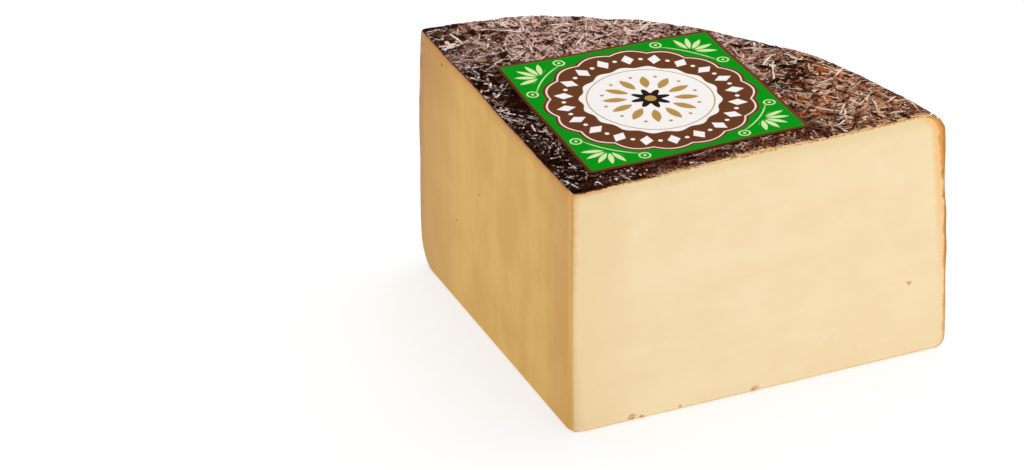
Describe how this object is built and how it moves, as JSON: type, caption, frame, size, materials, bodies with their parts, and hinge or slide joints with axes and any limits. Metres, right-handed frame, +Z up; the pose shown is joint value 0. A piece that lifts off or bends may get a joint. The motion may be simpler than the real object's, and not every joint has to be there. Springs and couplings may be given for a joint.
{
  "type": "quarter of a dark-rubbed cheese wheel",
  "caption": "Quarter cut from a hard cheese wheel: flat knife cuts, a dark rubbed rind with pale flakes on top and round the rim, and a square paper label on top.",
  "frame": {"origin": "centre of the bounding box in plan, on the flat base that the cheese rests on", "axes": "+Z up, out of the labelled top; the front knife cut faces -Y and runs along +X, and the left knife cut faces -X, 87 degrees from it; the curved rim is on the +X +Y side"},
  "size_m": [0.1678, 0.1602, 0.1096],
  "materials": {
    "cheese": "matte",
    "label": "satin"
  },
  "bodies": {
    "root": {"cheese_quarter": "cheese", "label": "label"}
  },
  "joints": []
}
